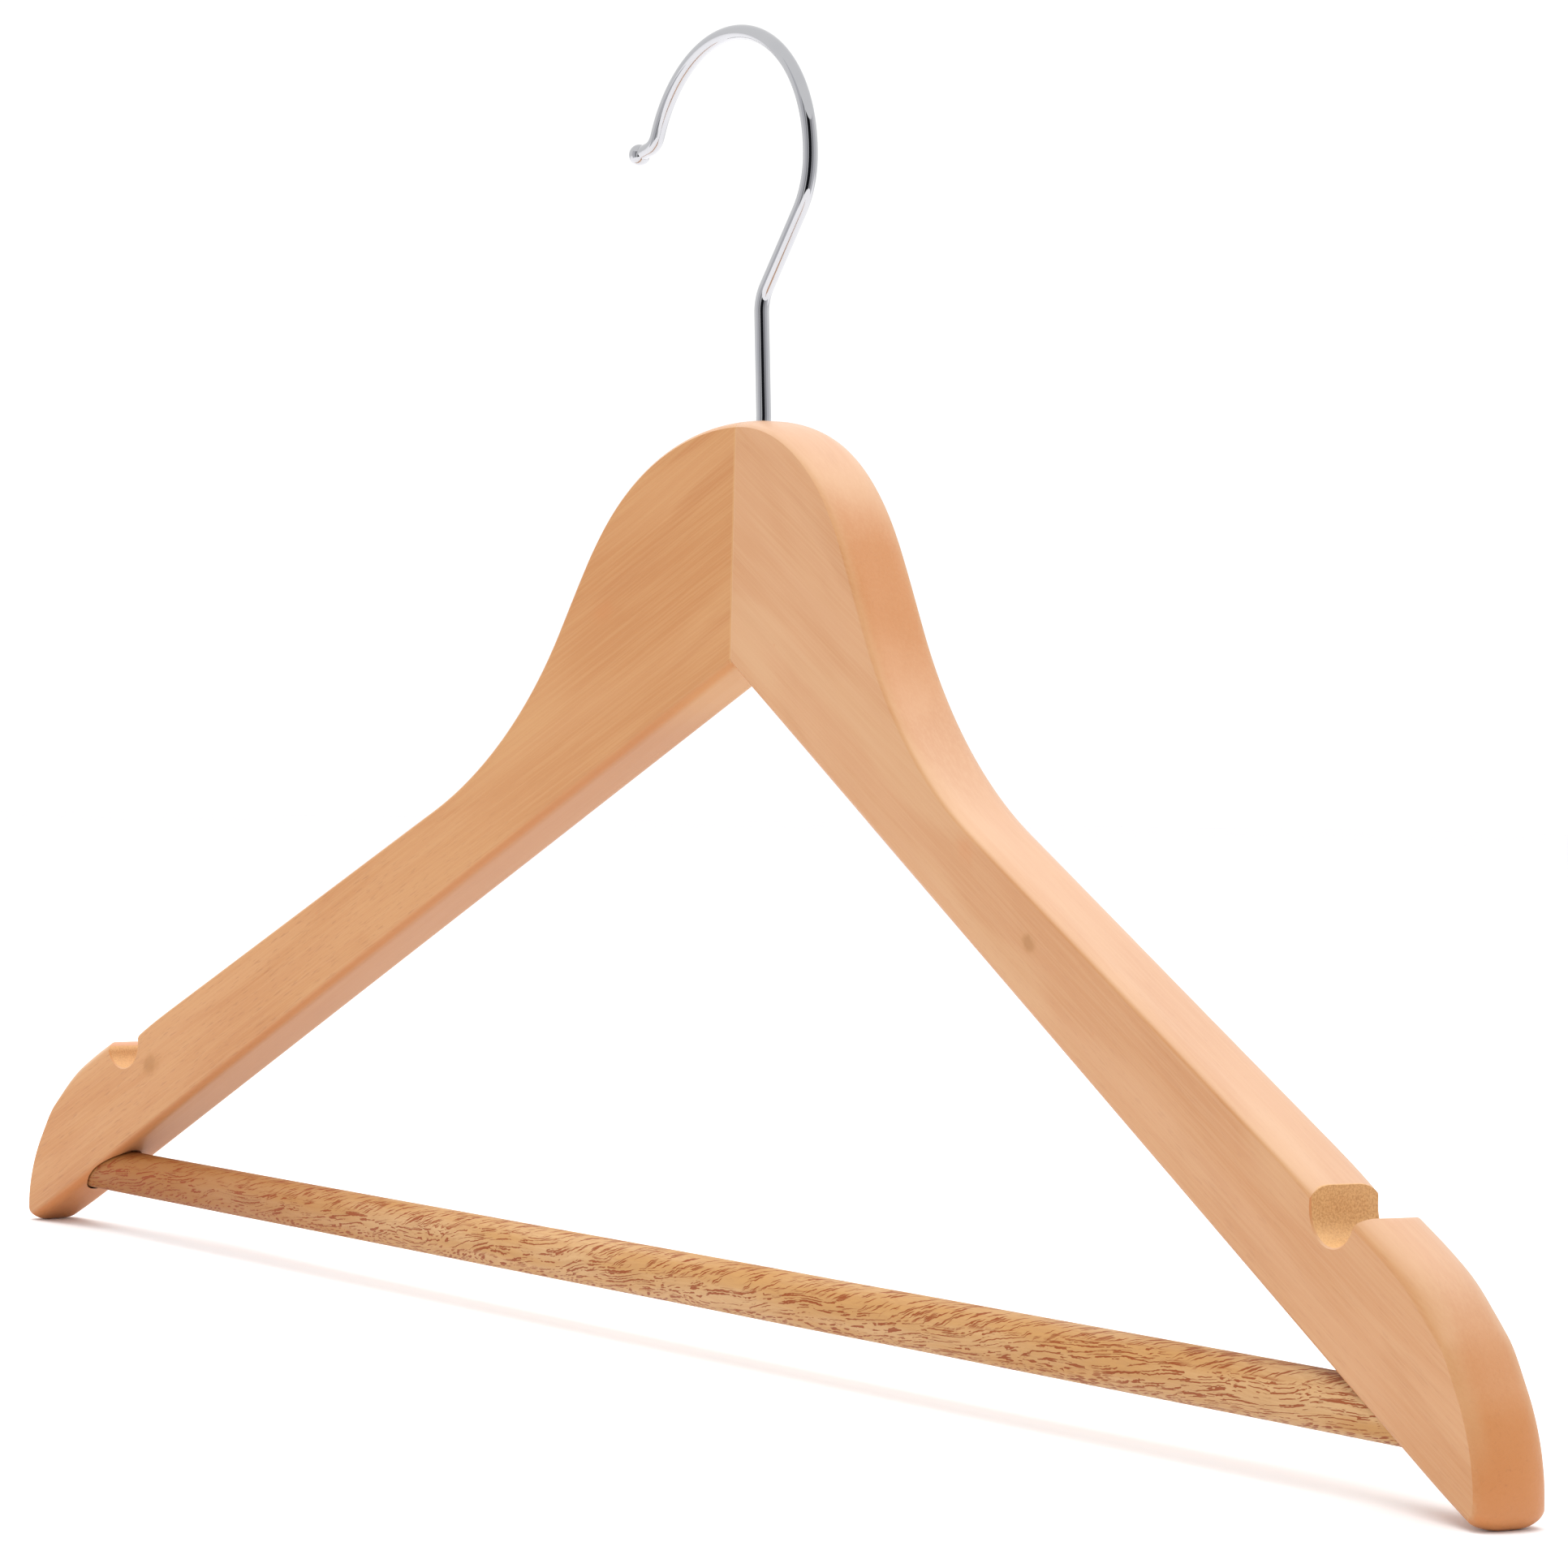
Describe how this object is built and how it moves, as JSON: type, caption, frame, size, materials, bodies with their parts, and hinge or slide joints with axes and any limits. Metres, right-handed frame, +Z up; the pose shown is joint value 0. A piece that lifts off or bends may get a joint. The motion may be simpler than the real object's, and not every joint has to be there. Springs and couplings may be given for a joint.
{
  "type": "clothes hanger",
  "caption": "Contoured two-part wooden clothes hanger with strap notches, a round trouser bar and a swivelling chrome wire hook.",
  "frame": {"origin": "inside top of the hook's loop, where the hanger rests on a rail", "axes": "+Z up, +X along the hanger's length towards the right arm's tip, -Y to the front, the side that the arms curve towards"},
  "size_m": [0.4456, 0.04, 0.2352],
  "materials": {
    "arm_wood": "smooth clear satin lacquer on pale fine-grained wood",
    "bar_wood": "sanded, open-pored wood with dark short pores",
    "hook_chrome": "bright chrome plating",
    "nut_steel": "plain zinc-plated steel",
    "pin_steel": "bright nail steel"
  },
  "bodies": {
    "hook": {"hook": "hook_chrome", "hook_nut": "nut_steel"},
    "hanger_body": {"left_arm": "arm_wood", "right_arm": "arm_wood", "trouser_bar": "bar_wood", "bar_pin_left": "pin_steel", "bar_pin_right": "pin_steel"}
  },
  "joints": [
    {"name": "hook_swivel", "type": "hinge", "parent": "hook", "child": "hanger_body", "pos_m": [0.0127, 0, -0.06975], "axis": [0, 0, 1], "continuous": true}
  ]
}
